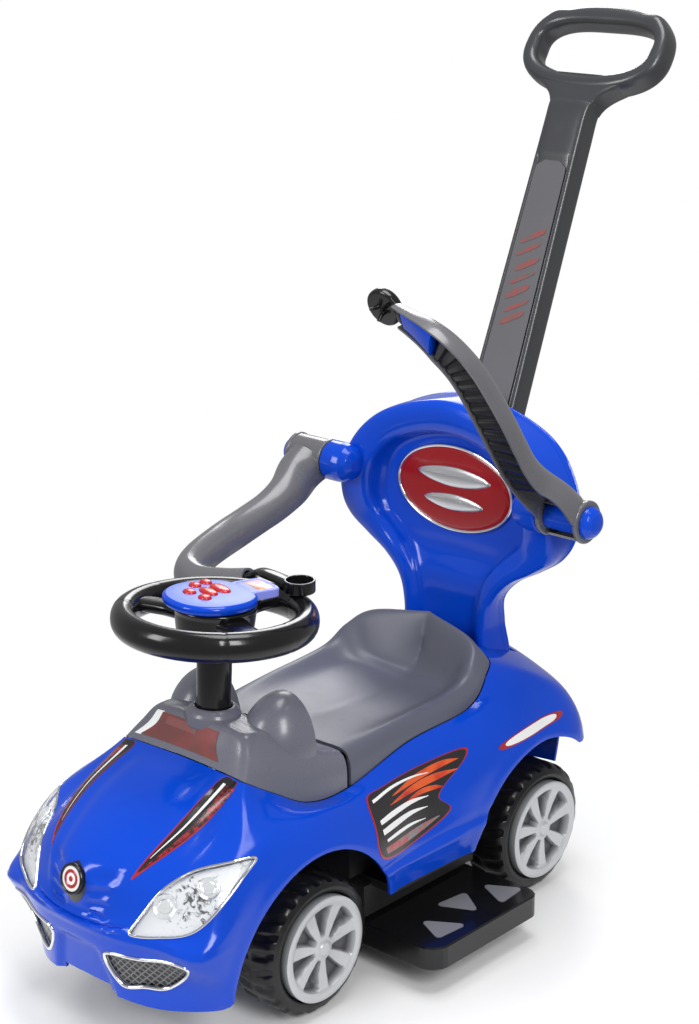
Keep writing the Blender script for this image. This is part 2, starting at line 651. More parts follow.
def front_cowl():
    """The grey cowl: its sloping front, the dash, two gauge hoods and the seat's hinge knuckles."""
    dash, seat, seam = DASH_Z, SEAT_Z, SEAM_Y - GAP
    rows = [
        [(0, COWL_Y + 0.012, BONNET_Z + 0.0155), (0, COWL_Y + 0.0225, dash),
         (0, COWL_Y + 0.031, dash + 0.002), (0, COWL_Y + 0.039, dash + 0.002)],
        [(0.0415, COWL_Y + 0.0128, BONNET_Z + 0.015), (0.0375, COWL_Y + 0.0228, dash - 0.0005),
         (0.030, COWL_Y + 0.032, dash + 0.0015), (0, COWL_Y + 0.049, dash + 0.002)],
        [(0.067, COWL_Y + 0.013, BONNET_Z + 0.0135), (0.058, COWL_Y + 0.024, dash - 0.002),
         (0.045, COWL_Y + 0.035, dash), (0, COWL_Y + 0.057, dash + 0.0015)],
        [(0.076, COWL_Y + 0.022, BONNET_Z + 0.0105), (0.064, COWL_Y + 0.034, dash - 0.0035),
         (0.050, COWL_Y + 0.045, dash - 0.001), (0, COWL_Y + 0.065, dash)],
        [(0.083, COWL_Y + 0.041, BONNET_Z + 0.003), (0.0695, COWL_Y + 0.049, dash - 0.0085),
         (0.054, COWL_Y + 0.057, dash - 0.0045), (0, COWL_Y + 0.073, dash - 0.0035)],
        [(0.092, COWL_Y + 0.073, seat - 0.005), (0.080, COWL_Y + 0.077, seat + 0.014),
         (0.058, COWL_Y + 0.081, seat + 0.019), (0, COWL_Y + 0.087, seat + 0.020)],
        [(0.098, seam, seat - 0.012), (0.088, seam, seat - 0.0005), (0.055, seam, seat), (0, seam, seat)],
    ]
    made = add("front_cowl", grid_mesh("front_cowl", filled_opening(0, rows, seam, 2)), GREY)
    mirror(made)
    solidify(made, WALL)
    for side in (1, -1):
        join(made, hood("hood", side, 0.0, SEAT_Z + 0.001))
    for side in (1, -1):
        cut(made, hood("hood_hollow", side, WALL, SEAT_Z - 0.012))
    cut(made, column_rod("collar_hole", DASH_Z - 0.03, DASH_Z + 0.03, COLLAR_R - 0.0019))
    for side in (1, -1):
        x = sorted((side * HINGE_X[0], side * HINGE_X[1]))
        join(made, hinge_rod("knuckle", x, HINGE_R))
        arm_x, root_x = (x[0] + 0.0005, x[1] - 0.0005), (x[0] + 0.001, x[1] - 0.001)
        arm_z = (HINGE_Z - HINGE_R * 0.8, HINGE_Z + 0.0006)
        join(made, box("knuckle_arm", arm_x, (SEAM_Y - 0.007, HINGE_Y), arm_z))
        join(made, box("knuckle_root", root_x, (SEAM_Y - 0.006, SEAM_Y - 0.001), (HINGE_Z, SEAT_Z - 0.001)))
    cut(made, hinge_rod("pin_bore", (-HINGE_END_X - 0.002, HINGE_END_X + 0.002), HINGE_PIN_R + GAP))


def seat_lid():
    """The grey seat, a dished lid that lifts about its front seam, with its hinge pin."""
    rear, seat, seam = REAR_AXLE_Y, SEAT_Z, HINGE_Y
    rows = [
        [(0.098, seam, seat - 0.012), (0.088, seam, seat - 0.0005), (0.055, seam, seat), (0, seam, seat)],
        [(0.0985, MID_Y, seat - 0.002), (0.0905, MID_Y, seat + 0.0055), (0.0615, MID_Y, seat - 0.002),
         (0, MID_Y, seat - 0.0085)],
        [(0.101, rear - 0.1005, seat + 0.0045), (0.088, rear - 0.1035, seat + 0.0125),
         (0.062, rear - 0.1055, seat - 0.0015), (0, rear - 0.1005, seat - 0.009)],
        [(0.095, rear - 0.0665, seat + 0.022), (0.083, rear - 0.0725, seat + 0.030),
         (0.058, rear - 0.0805, seat + 0.005), (0, rear - 0.0765, seat - 0.0065)],
        [(0.073, rear - 0.0435, seat + 0.036), (0.063, rear - 0.0525, seat + 0.045),
         (0.044, rear - 0.0665, seat + 0.012), (0, rear - 0.0625, seat - 0.0015)],
        [(0, rear - 0.0285, seat + 0.044), (0, rear - 0.0375, seat + 0.056),
         (0, rear - 0.0445, seat + 0.035), (0, rear - 0.048, seat + 0.0175)],
    ]
    made = add("seat_lid", grid_mesh("seat_lid", filled_opening(SEAM_STATION, rows, seam, 1)), GREY)
    mirror(made)
    solidify(made, WALL)
    inner, outer = HINGE_X[0] - 2 * RUN, HINGE_X[1] + 2 * RUN
    for x in ((-inner, inner), (outer, HINGE_END_X), (-HINGE_END_X, -outer)):
        join(made, hinge_rod("bead", x, HINGE_R))
        join(made, box("bead_root", x, (HINGE_Y, HINGE_Y + 0.005), (HINGE_Z - HINGE_R / 2, SEAT_Z - 0.0015)))
    cut(made, hinge_rod("pin_bore", (-HINGE_END_X - 0.002, HINGE_END_X + 0.002), HINGE_PIN_R + GAP))
    pin = hinge_rod("seat_hinge_pin", (-HINGE_END_X + 0.002, HINGE_END_X - 0.002), HINGE_PIN_R)
    add("seat_hinge_pin", pin, STEEL)


def on_column(height):
    """The point of the tilted steering axis at a height."""
    return Vector((0, COLUMN_Y + (height - DASH_Z) * math.tan(LEAN), height))


def column_rod(name, low, high, radius):
    return rod(name, on_column(low), on_column(high), radius, 24)


def column_collar():
    """The ring in the dash that the steering column turns in."""
    bore = COLUMN_R + RUN
    profile = [(bore, 0.0085), (bore + 0.003, 0.0095), (COLLAR_R - 0.002, 0.0060), (COLLAR_R, 0.0026),
               (COLLAR_R - 0.0022, 0.0024), (COLLAR_R - 0.0022, -0.0060), (bore, -0.0060)]
    turned("column_collar", profile, GREY, 20, location=on_column(DASH_Z), rotation=(-LEAN, 0, 0), ring=True)


def floor_pan():
    """The black floor: rails, footrest guides, kingpin brackets and the rear axle's bearings."""
    front, rear = FRONT_AXLE_Y, REAR_AXLE_Y
    low, high = PAN_Z
    half, guide = PAN_HALF_X, GUIDE_HALF_X
    made = add("floor_pan", box("floor_pan", (-half, half), PAN_Y, PAN_Z), BLACK)
    sill_half = BODY_HALF_W - 0.0118
    join(made, box("sill_plate", (-sill_half, sill_half), (PAN_Y[0] + 0.012, PAN_Y[1] - 0.050),
                   (high - 0.003, SILL_Z + 0.004)))
    join(made, box("front_spine", (-0.035, 0.035), (front - 0.120, PAN_Y[0] + 0.010), (low + 0.014, high)))
    join(made, box("rear_spine", (-0.060, 0.060), (PAN_Y[1] - 0.014, rear + 0.032), (low, high)))
    spread = KINGPIN_X + 0.0095
    join(made, box("kingpin_web", (-0.035, 0.035), (front - 0.017, front + 0.017),
                   (KINGPIN_PLATES[0][0], KINGPIN_PLATES[1][0] + 0.004)))
    for plate in KINGPIN_PLATES:
        join(made, box("kingpin_plate", (-spread, spread), (front - 0.0115, front + 0.0115), plate))
    lip, shelf = REST_Z[0] - 0.006, REST_Z[0] - GAP
    front_guide = (REST_Y[0] - RUN - GUIDE_THICK, REST_Y[0] - RUN)
    rear_guide = (REST_Y[1] + RUN, REST_Y[1] + RUN + GUIDE_THICK)
    join(made, box("guide_root", (-guide, guide), (front_guide[0], PAN_Y[0] + 0.002), (low, low + 0.008)))
    for wall, inner in ((front_guide, front_guide[1] + 0.008), (rear_guide, rear_guide[0] - 0.008)):
        join(made, box("guide", (-guide, guide), wall, (lip, low + 0.004)))
        join(made, box("guide_lip", (-guide, guide), (min(*wall, inner), max(*wall, inner)), (lip, shelf)))
    cut(made, box("pan_hollow", (0.010 - half, half - 0.010), (PAN_Y[0] + 0.008, PAN_Y[1] - 0.008),
                  (low + 0.003, high - 0.004)))
    cut(made, box("pan_hatch", (-0.030, 0.030), (-0.030, 0.030), (low - 0.01, low + 0.01)))
    for side in (1, -1):
        x = side * KINGPIN_X
        cut(made, rod("kingpin_bore", (x, front, 0.02), (x, front, 0.12), KINGPIN_R + RUN, 16))
    cut(made, rod("axle_bore", (-0.08, rear, WHEEL_R), (0.08, rear, WHEEL_R), AXLE_R + GAP, 16))
    cut(made, rod("column_bore", on_column(0.02), on_column(0.12), COLUMN_BORE_R, 16))


def storage_tub():
    """The open box under the seat."""
    floor_z, rim_z = SILL_Z + 0.004 + GAP, SEAT_Z - TUB_RIM_DROP
    x, y = TUB_HALF_X, (SEAM_Y + 0.018, REAR_AXLE_Y - WHEEL_R - 0.0045)
    made = add("storage_tub", box("storage_tub", (-x, x), y, (floor_z, rim_z)), BLACK)
    cut(made, box("tub_space", (TUB_WALL - x, x - TUB_WALL), (y[0] + TUB_WALL, y[1] - TUB_WALL),
                  (floor_z + TUB_WALL, rim_z + 0.02)))


def wheels():
    """Tyres moulded with their hubs, and the silver hubcaps pressed into them."""
    middle = (TYRE_OUTER_X + TYRE_INNER_X) / 2
    half = TYRE_WIDTH / 2
    hub = AXLE_R + GAP
    pocket = half - 0.006
    core = pocket - 0.020
    tyre = [
        (hub, core), (0.022, core), (WHEEL_SEAT_R, pocket), (WHEEL_SEAT_R + 0.003, half - 0.001),
        (WHEEL_R - 0.006, half), (WHEEL_R, half - 0.008), (WHEEL_R, 0.008 - half), (WHEEL_R - 0.006, -half),
        (0.038, 0.014 - half), (0.016, 0.014 - half), (hub, 0.001 - half),
    ]
    for place, y in (("front", FRONT_AXLE_Y), ("rear", REAR_AXLE_Y)):
        for side, hand in ((1, "left"), (-1, "right")):
            wheel = empty(f"{place}_{hand}_wheel", (side * middle, y, WHEEL_R), (0, side * math.pi / 2, 0), CAR)
            turned(f"tyre_{place}_{hand}", tyre, TYRE, 22, wheel, ring=True)
            add(f"hubcap_{place}_{hand}", hubcap_mesh(half, pocket), SILVER, wheel)


def hubcap_mesh(half, pocket):
    """A dished cap with seven spokes: rings of points whose height follows the spokes."""
    face = half + HUBCAP_PROUD
    back = pocket + 0.0012
    around = HUBCAP_SPOKES * 4
    low = 0.0045
    rings = [(0.008, 0.85, 0), (0.012, 0.55, 0), (0.020, 0.45, low), (0.043, 0.60, low), (0.0455, 0.95, 0),
             (HUBCAP_R - 0.002, 1.0, 0)]
    heights = [(radius, back + (face - back) * share, dip) for radius, share, dip in rings]
    heights += [(HUBCAP_R, face - 0.001, 0), (HUBCAP_R, back + 0.001, 0), (0.020, back - 0.0115, 0)]
    rows = []
    for radius, height, dip in heights:
        row = []
        for k in range(around):
            angle = 2 * math.pi * k / around
            z = height - (dip if k % 4 >= 2 else 0)
            row.append((radius * math.cos(angle), radius * math.sin(angle), z))
        rows.append(row)
    return grid_mesh("hubcap", rows, wrap_points=True, caps=True)


def axles():
    """The rear axle rod, and the two front knuckles on their kingpins with the tie bar."""
    front, rear = FRONT_AXLE_Y, REAR_AXLE_Y
    axle = rod("rear_axle", (-AXLE_END_X, rear, WHEEL_R), (AXLE_END_X, rear, WHEEL_R), AXLE_R, 16)
    add("rear_axle", axle, STEEL)
    arm_top = TIE_LOW_Z - GAP * 2
    foot, head = KINGPIN_PLATES[0][0] - 0.003, arm_top
    shoulder = (KINGPIN_PLATES[0][1] + 0.001, KINGPIN_PLATES[1][0] - 0.001)
    for side, hand in ((1, "left"), (-1, "right")):
        x = side * KINGPIN_X
        pivot = empty(f"kingpin_{hand}", (x, front, WHEEL_R), parent=CAR)
        kingpin = rod("kingpin", (0, 0, foot - WHEEL_R), (0, 0, head - WHEEL_R), KINGPIN_R, 12)
        made = add(f"knuckle_{hand}", kingpin, STEEL, pivot)
        join(made, rod("stub", (0, 0, 0), (side * AXLE_END_X - x, 0, 0), AXLE_R, 16))
        join(made, rod("shoulder", (0, 0, shoulder[0] - WHEEL_R), (0, 0, shoulder[1] - WHEEL_R), 0.0075, 12))
        join(made, box("steer_arm", (-0.006, 0.006), (-0.006, STEER_ARM + 0.006),
                       (arm_top - 0.0025 - WHEEL_R, arm_top - WHEEL_R)))
        join(made, rod("arm_pin", (0, STEER_ARM, arm_top - 0.002 - WHEEL_R),
                       (0, STEER_ARM, TIE_TOP_Z + 0.0035 - WHEEL_R), ARM_PIN_R, 12))
    tie_y = front + STEER_ARM
    tie = empty("tie_bar_slide", (0, tie_y, TIE_LOW_Z), parent=CAR)
    reach = KINGPIN_X + 0.008
    forward = on_column(TIE_LOW_Z).y + CRANK - tie_y
    knuckle_drop = STEER_ARM * (1 - math.cos(math.radians(KNUCKLE_TURN)))
    crank_drop = CRANK * (1 - math.cos(math.radians(STEER_TURN)))
    pin, crank = ARM_PIN_R + PIN_ROOM, CRANK_PIN_R + PIN_ROOM
    front_y, crank_y = -pin - knuckle_drop, forward - crank - crank_drop
    edge = 0.0018
    outline = [(-reach, front_y - edge), (-0.024, front_y - edge), (-0.012, crank_y - edge),
               (0.012, crank_y - edge), (0.024, front_y - edge), (reach, front_y - edge), (reach, 0.006),
               (-reach, 0.006)]
    made = add("tie_bar", prism("tie_bar", outline, 0, TIE_THICK), STEEL, tie)
    for side in (1, -1):
        x = side * KINGPIN_X
        cut(made, box("pin_slot", (x - pin, x + pin), (front_y, pin), (-0.01, 0.02)))
    cut(made, box("crank_slot", (-crank, crank), (crank_y, forward + crank), (-0.01, 0.02)))


def steering():
    """The wheel, column, rod and the music module, all on one empty on the tilted axis."""
    turn = empty("steering", on_column(RIM_Z), (-LEAN, 0, 0), CAR)
    hub_low = -0.013

    def local(height):
        return (height - RIM_Z) / math.cos(LEAN)

    rim_profile = [(RIM_R + RIM_HALF_W * math.cos(a), RIM_HALF_H * math.sin(a))
                   for a in (math.pi / 2 - 2 * math.pi * k / 8 for k in range(8))]
    wheel = turned("steering_wheel", rim_profile, BLACK, 28, turn, ring=True)
    join(wheel, rod("hub", (0, 0, hub_low), (0, 0, RIM_HALF_H), 0.036, 24, 0.041))
    for angle in (90, -18, 198):
        way = Vector((math.cos(math.radians(angle)), math.sin(math.radians(angle)), 0))
        across = Vector((-way.y, way.x, 0))
        spoke = [way * 0.030 - across * 0.013, way * RIM_R - across * 0.010,
                 way * RIM_R + across * 0.010, way * 0.030 + across * 0.013]
        join(wheel, prism("spoke", [(p.x, p.y) for p in spoke], -0.004, 0.009))
    bore = STEER_ROD_R + GAP
    cut(wheel, rod("rod_bore", (0, 0, -0.03), (0, 0, 0.004), bore, 16))

    tube_low, tube_high = local(DASH_Z + 0.001), hub_low - GAP
    tube = [(bore, tube_high), (COLUMN_R, tube_high), (COLUMN_R, tube_low), (COLUMN_R - 0.003, tube_low),
            (COLUMN_R - 0.003, tube_high - 0.004), (bore, tube_high - 0.004)]
    column = turned("steering_column", tube, BLACK, 20, turn, ring=True)
    height = Vector((0, 0, local(SCREW_Z)))
    outward = Vector((math.sin(math.radians(SCREW_TURN)), -math.cos(math.radians(SCREW_TURN)), 0))
    head = outward * (COLUMN_R - 0.0015) + height
    cut(column, rod("screw_hole", head - outward * 0.004, head + outward * 0.01, SCREW_R + GAP, 12))
    add("column_screw", rod("column_screw", outward * bore + height, head, SCREW_R, 12), STEEL, turn)

    bar = add("steering_rod", rod("rod", (0, 0, local(0.086)), (0, 0, 0.0035), STEER_ROD_R), STEEL, turn)
    crank_z = local(TIE_TOP_Z + 0.006)
    join(bar, box("crank", (-0.004, 0.004), (0, CRANK + 0.004), (crank_z, crank_z + 0.004)))
    join(bar, rod("crank_pin", (0, CRANK, crank_z + 0.001), (0, CRANK, local(TIE_LOW_Z - 0.0005)), CRANK_PIN_R, 12))
    music_module(turn)


def music_module(turn):
    """The blue music module on the wheel: case, screen, battery door and six buttons."""
    seat = empty("module", (*MODULE_SHIFT, 0), (0, 0, math.radians(MODULE_TWIST)), turn)
    low = RIM_HALF_H + GAP
    top = low + MODULE_H
    steps = 24
    levels = [(0.90, low), (1.0, low + 0.004), (1.0, low + 0.0065), (0.93, top - 0.002), (0.55, top)]
    rows = [[(MODULE_HALF_X * share * math.cos(2 * math.pi * k / steps),
              MODULE_HALF_Y * share * math.sin(2 * math.pi * k / steps), z) for k in range(steps)]
            for share, z in levels]
    case = add("music_case", grid_mesh("music_case", rows, wrap_points=True, caps=True), BLUE, seat)
    panel = [(-0.021, 0.030), (0.021, 0.030), (0.019, 0.067), (-0.019, 0.067)]
    panel_low, panel_high = top - 0.0095, top - 0.0015
    join(case, prism("screen_arm", rounded_polygon(panel, 0.005, 2), panel_low, panel_high))
    glass = [(-0.0145, 0.0465), (0.0145, 0.0465), (0.0140, 0.0635), (-0.0140, 0.0635)]
    pocket = [(x + math.copysign(GAP, x), y + math.copysign(GAP, y - 0.055)) for x, y in glass]
    pocket = rounded_polygon(pocket, 0.002, 2)
    cut(case, prism("screen_pocket", pocket, panel_high - 0.0018, panel_high + 0.005))
    screen = prism("music_screen", rounded_polygon(glass, 0.002, 2), panel_high - 0.0015, panel_high - 0.0002)
    add("music_screen", screen, SCREEN, seat)
    door = [(x * 0.85, y) for x, y in glass]
    hole = [(x + math.copysign(GAP, x), y + math.copysign(GAP, y - 0.055)) for x, y in door]
    cut(case, prism("door_hole", hole, panel_low - 0.005, panel_low + 0.0019))
    add("battery_door", prism("battery_door", door, panel_low + 0.0002, panel_low + 0.0016), BLACK, seat)
    places = [
        ("button_play", -0.002, 0.012, 0.0125, 0.0062),
        ("button_horn", 0.002, -0.003, 0.0110, 0.0055),
        ("button_song_1", -0.026, 0.010, 0.0058, 0.0046),
        ("button_song_2", -0.022, -0.004, 0.0058, 0.0046),
        ("button_song_3", -0.006, -0.019, 0.0062, 0.0048),
        ("button_song_4", 0.016, -0.015, 0.0060, 0.0048),
    ]
    for name, x, y, half_x, half_y in places:
        floor_z = top - 0.0065
        cut(case, oval("well", x, y, half_x + RUN, half_y + RUN, floor_z, top + 0.01))
        slide = empty(f"{name}_slide", (x, y, floor_z + BUTTON_TRAVEL + GAP), parent=seat)
        bevel(add(name, oval(name, 0, 0, half_x, half_y, 0, 0.0085 - BUTTON_TRAVEL), RED, slide), 0.0012)


def oval(name, x, y, half_x, half_y, low, high, steps=12):
    angles = [2 * math.pi * k / steps for k in range(steps)]
    outline = [(x + half_x * math.cos(angle), y + half_y * math.sin(angle)) for angle in angles]
    return prism(name, outline, low, high)


def back_rows():
    """Half of the backrest from its top round the left side to its foot.

    Each station gives the outline's (x, drop below the top), the dish edge's (x, drop), the drop
    of its point on the centre line, the depth of the rear edge behind the front and how far the
    wing reaches forward.
    """
    wide, foot = BACK_HALF_W, FOOT_HALF_W
    return [
        ((0, 0), (0, 0.039), 0.052, 0.052, 0),
        ((0.042, 0.007), (0.030, 0.042), 0.064, 0.053, 0),
        ((0.082, 0.021), (0.058, 0.051), 0.074, 0.054, 0),
        ((0.108, 0.037), (0.079, 0.063), 0.085, 0.054, 0.002),
        ((wide - 0.017, 0.060), (0.092, 0.079), 0.096, 0.052, 0.006),
        ((wide - 0.0025, 0.092), (0.0985, 0.098), 0.107, 0.048, 0.009),
        ((wide, 0.127), (0.0995, 0.122), 0.120, 0.040, 0.006),
        ((wide - 0.009, 0.150), (0.092, 0.140), 0.134, 0.031, 0.002),
        ((0.112, 0.168), (0.077, 0.154), 0.150, 0.026, 0),
        ((0.084, 0.185), (0.060, 0.172), 0.170, 0.025, 0),
        ((0.064, 0.208), (0.046, 0.196), 0.197, 0.028, 0),
        ((foot, 0.239), (foot - 0.019, 0.234), 0.234, 0.038, 0),
        ((foot - 0.001, 0.284), (foot - 0.021, 0.272), 0.260, 0.045, 0),
        ((0, 0.284), (0, 0.272), 0.266, 0.045, 0),
    ]


def back_surfaces():
    """The backrest's front levels and rear levels, which meet on its side edge."""
    fronts, rears = [], []
    for outline, dish, middle_drop, depth, wing in back_rows():
        middle_z = BACK_TOP_Z - middle_drop * BACK_RISE
        out = np.array((outline[0], BACK_TOP_Z - outline[1] * BACK_RISE))
        into = np.array((dish[0], BACK_TOP_Z - dish[1] * BACK_RISE))
        deep = BACK_FRONT_Y + (BACK_DISH if middle_drop < 0.18 else BACK_DISH * 0.6)
        band, rear_y = BACK_FRONT_Y - wing, BACK_FRONT_Y + depth
        seam = rear_y - 0.010

        def at(share, y):
            x, z = into + (out - into) * share
            return (x, y, z)

        flat = (into[0] * 0.84, deep, middle_z + (into[1] - middle_z) * 0.84)
        fronts.append([(0, deep, middle_z), flat, at(0, deep - 0.005), at(0.14, band + 0.004),
                       at(0.55, band), at(0.90, band + 0.003), at(1, band + 0.012), at(1, seam)])
        mid = (into[0] * 0.7, rear_y + COVER_BULGE * 0.6, (middle_z + into[1]) / 2)
        rears.append([at(1, seam + GAP), at(1, seam + 0.005), at(0.88, rear_y), mid,
                      (0, rear_y + COVER_BULGE, middle_z)])
    return fronts, rears


def backrest():
    """The blue backrest: a dished front moulding and a rear cover, with the arms' side bosses."""
    fronts, rears = back_surfaces()
    front = add("backrest_shell", grid_mesh("backrest_shell", smooth_grid(fronts, 1, 1)), BLUE)
    mirror(front)
    solidify(front, BACK_WALL)
    root = BOSS_X - 0.022
    for side in (1, -1):
        boss = rod("arm_boss", (side * root, PIVOT_Y, PIVOT_Z), (side * BOSS_X, PIVOT_Y, PIVOT_Z), EAR_R, 16)
        join(front, boss)
        cut(front, rod("boss_bore", (side * (root + 0.007), PIVOT_Y, PIVOT_Z),
                       (side * (BOSS_X + 0.02), PIVOT_Y, PIVOT_Z), SHANK_R + GAP, 16))
    rear = add("backrest_cover", grid_mesh("backrest_cover", smooth_grid(rears, 1, 1)), BLUE)
    mirror(rear)
    solidify(rear, BACK_WALL)
    cut(rear, beam_prism("cover_window", SLEEVE_WALL + GAP, -0.03, 0.13))


def medallion():
    """The oval panel on the backrest, in its silver bezel."""
    turn = (math.pi / 2, 0, 0)
    at = (0, BACK_FRONT_Y + BACK_DISH - GAP, MEDALLION_Z)
    half_w, half_h = MEDALLION_HALF_W - BEZEL_W, MEDALLION_HALF_H - BEZEL_W
    ring = oval("bezel", 0, 0, MEDALLION_HALF_W, MEDALLION_HALF_H, 0.0, 0.0035, 32)
    bezel = add("medallion_bezel", ring, SILVER, location=at, rotation=turn)
    cut(bezel, oval("bezel_hole", 0, 0, half_w, half_h, -0.01, 0.02, 32))
    panel = oval("panel", 0, 0, half_w - GAP, half_h - GAP, 0.0, 0.0028, 32)
    add("medallion_panel", panel, RED, location=at, rotation=turn)


def beam_point(height):
    """The middle of the push handle's straight beam at a height."""
    y = HANDLE_LOW_Y + (height - HANDLE_LOW_Z) * math.tan(BEAM) + HANDLE_THICK / 2 / math.cos(BEAM)
    return Vector((0, y, height))


def beam_prism(name, grow, low, high):
    """A box along the beam from its lower end, larger than the beam by grow."""
    form = bmesh.new()
    size = Matrix.Diagonal((2 * (HANDLE_HALF_LOW + grow), HANDLE_THICK + 2 * grow, high - low, 1))
    shift = Matrix.Translation((0, 0, (high + low) / 2))
    place = Matrix.Translation(beam_point(HANDLE_LOW_Z)) @ Matrix.Rotation(-BEAM, 4, "X") @ shift
    bmesh.ops.create_cube(form, size=1, matrix=place @ size)
    return finish_mesh(form, name)


def handle_socket():
    """The sleeve on the backrest's back that the push handle plugs into."""
    made = add("handle_socket", beam_prism("handle_socket", SLEEVE_WALL, -0.004, SLEEVE_H - 0.004), BLUE)
    cut(made, beam_prism("handle_space", GAP, -GAP, SLEEVE_H + 0.02))


def section(centre, along, half_x, half_t):
    """A rectangle with cut corners across a line that runs in the Y-Z plane."""
    along = Vector(along).normalized()
    across = Vector((0, along.z, -along.y))
    corner = half_t * 0.65
    points = []
    for sx, st in ((1, -1), (1, 1), (-1, 1), (-1, -1)):
        wide = Vector(centre) + Vector((sx * half_x, 0, 0)) + across * (st * (half_t - corner))
        flat = Vector(centre) + Vector((sx * (half_x - corner), 0, 0)) + across * (st * half_t)
        points += [tuple(wide), tuple(flat)] if sx * st > 0 else [tuple(flat), tuple(wide)]
    return points


def handle_rows():
    """Sections up the tapering beam, round the bend and out to the grip ring."""
    half_t = HANDLE_THICK / 2
    beam = Vector((0, math.sin(BEAM), math.cos(BEAM)))
    ring = Vector((0, math.sin(RING), math.cos(RING)))
    neck = beam_point(HANDLE_NECK_Z)
    rows = []
    for share in (0, 0.5, 0.95):
        half = HANDLE_HALF_LOW + (HANDLE_HALF_NECK - HANDLE_HALF_LOW) * share
        rows.append(section(beam_point(HANDLE_LOW_Z + HANDLE_RISE * share), beam, half, half_t))
    rows.append(section(neck, beam + ring, HANDLE_HALF_NECK + 0.001, half_t))
    for share, half in ((0.41, 0.034), (0.79, 0.050), (1.06, 0.062)):
        rows.append(section(neck + ring * (RING_OFFSET * share), ring, half, half_t * 0.96))
    return rows


def ring_centre():
    return beam_point(HANDLE_NECK_Z) + Vector((0, math.sin(RING), math.cos(RING))) * (RING_OFFSET + RING_HALF_H)


def ring_rows():
    """The grip ring's sections round a flattened oval."""
    centre = ring_centre()
    up = Vector((0, math.sin(RING), math.cos(RING)))
    out = Vector((0, -math.cos(RING), math.sin(RING)))
    rows = []
    count = 24
    for k in range(count):
        angle = 2 * math.pi * k / count
        c, s = math.cos(angle), math.sin(angle)
        x = RING_HALF_W * math.copysign(abs(c) ** 0.62, c)
        w = RING_HALF_H * math.copysign(abs(s) ** 0.62, s)
        way = (Vector((x / RING_HALF_W**2, 0, 0)) + up * (w / RING_HALF_H**2)).normalized()
        middle = centre + Vector((x, 0, 0)) + up * w
        ring = []
        for i in range(8):
            turn = 2 * math.pi * (i + 0.5) / 8
            ring.append(tuple(middle + way * (RING_HALF_SECTION * 1.05 * math.cos(turn))
                              + out * (HANDLE_THICK / 2 * math.sin(turn))))
        rows.append(ring)
    return rows


def push_handle():
    """The grey push handle: a tapering beam that bends back and opens into a grip ring."""
    made = add("push_handle", grid_mesh("push_handle", handle_rows(), wrap_points=True, caps=True), GREY)
    join(made, grid_mesh("grip_ring", ring_rows(), wrap_rows=True, wrap_points=True))


# A closed guard arm from its pivot: out from the fork's middle, along Y, up, half width, half height
ARM_SIDE = [(0.0, -0.012, -0.004, 0.0242, 0.0242), (-0.002, -0.030, -0.012, 0.0225, 0.0225),
            (-0.011, -0.056, -0.024, 0.0200, 0.0200), (-0.012, -0.083, -0.036, 0.0185, 0.0185),
            (-0.011, -0.113, -0.045, 0.0180, 0.0180), (-0.012, -0.144, -0.052, 0.0180, 0.0180),
            (-0.018, -0.175, -0.056, 0.0175, 0.0175), (-0.024, -0.201, -0.060, 0.0170, 0.0170),
            (-0.032, -0.221, -0.064, 0.0165, 0.0165)]
# Its end in front of the child: out from the car's middle, then as above
ARM_END_LEFT = [(0.126, -0.2345, -0.0640, 0.0160, 0.0160), (0.106, -0.2405, -0.0585, 0.0150, 0.0140),
                (0.084, -0.2420, -0.0513, 0.0140, 0.0110), (0.057, -0.2408, -0.0398, 0.0125, 0.0095)]
ARM_END_RIGHT = [(0.129, -0.2325, -0.0660, 0.0160, 0.0160), (0.108, -0.2353, -0.0665, 0.0150, 0.0140),
                 (0.080, -0.2318, -0.0620, 0.0140, 0.0120), (0.052, -0.2273, -0.0549, 0.0125, 0.0100)]
LATCH = Vector((0.030, -0.2404, -0.0288))  # the latch head's middle, on the closed left arm
TONGUE = [(0.037, -0.2260, -0.0475, 0.0070, 0.0047), (0.024, -0.2300, -0.0450, 0.0080, 0.0045),
          (-0.020, -0.2385, -0.0440, 0.0080, 0.0045)]
ARM_PROFILE = [(1.0, -0.71), (1.02, -0.1), (0.80, 0.52), (0.25, 0.87), (-0.35, 0.76), (-0.85, 0.33),
               (-1.0, -0.24), (-0.98, -0.71)]


def frames_through(line):
    """Points of a line with the ways across it and up from it, and its half width and height."""
    line = np.asarray(line, float)
    frames = []
    for i, (x, y, z, half, height) in enumerate(line):
        before = line[max(i - 1, 0), :3]
        after = line[min(i + 1, len(line) - 1), :3]
        along = Vector(after - before).normalized()
        across = along.cross(Vector((0, 0, 1))).normalized()
        frames.append((Vector((x, y, z)), -across, across.cross(along).normalized(), half, height))
    return frames


def arm_frames(end):
    side = [(ARM_X + x, y * ARM_STRETCH, *rest) for x, y, *rest in ARM_SIDE]
    tip = [(x, y * ARM_STRETCH, *rest) for x, y, *rest in end]
    return frames_through(smooth_line(side + tip, 2))


def arm_loft(name, frames, side, outline, wrap=True):
    """A loft along the frames. outline gives the section's points from half width and height."""
    rows = []
    for point, across, up, half, height in frames:
        row = [point + across * a + up * b for a, b in outline(half, height)]
        rows.append([(side * p.x, p.y, p.z) for p in row])
    return grid_mesh(name, rows, wrap_points=wrap, caps=wrap)


def skin(half, height):
    return [(half * a, height * b) for a, b in ARM_PROFILE]


def inside_skin(half, height):
    room = ARM_WALL + 2 * RUN
    return skin(half - room, height - room)


def strip(low, high):
    """A flat section inside the arm's skin, between two heights given as shares of the arm's own."""
    def outline(half, height):
        wide = half - ARM_WALL - 3 * RUN
        return [(wide, height * low), (wide, height * high), (-wide, height * high), (-wide, height * low)]
    return outline


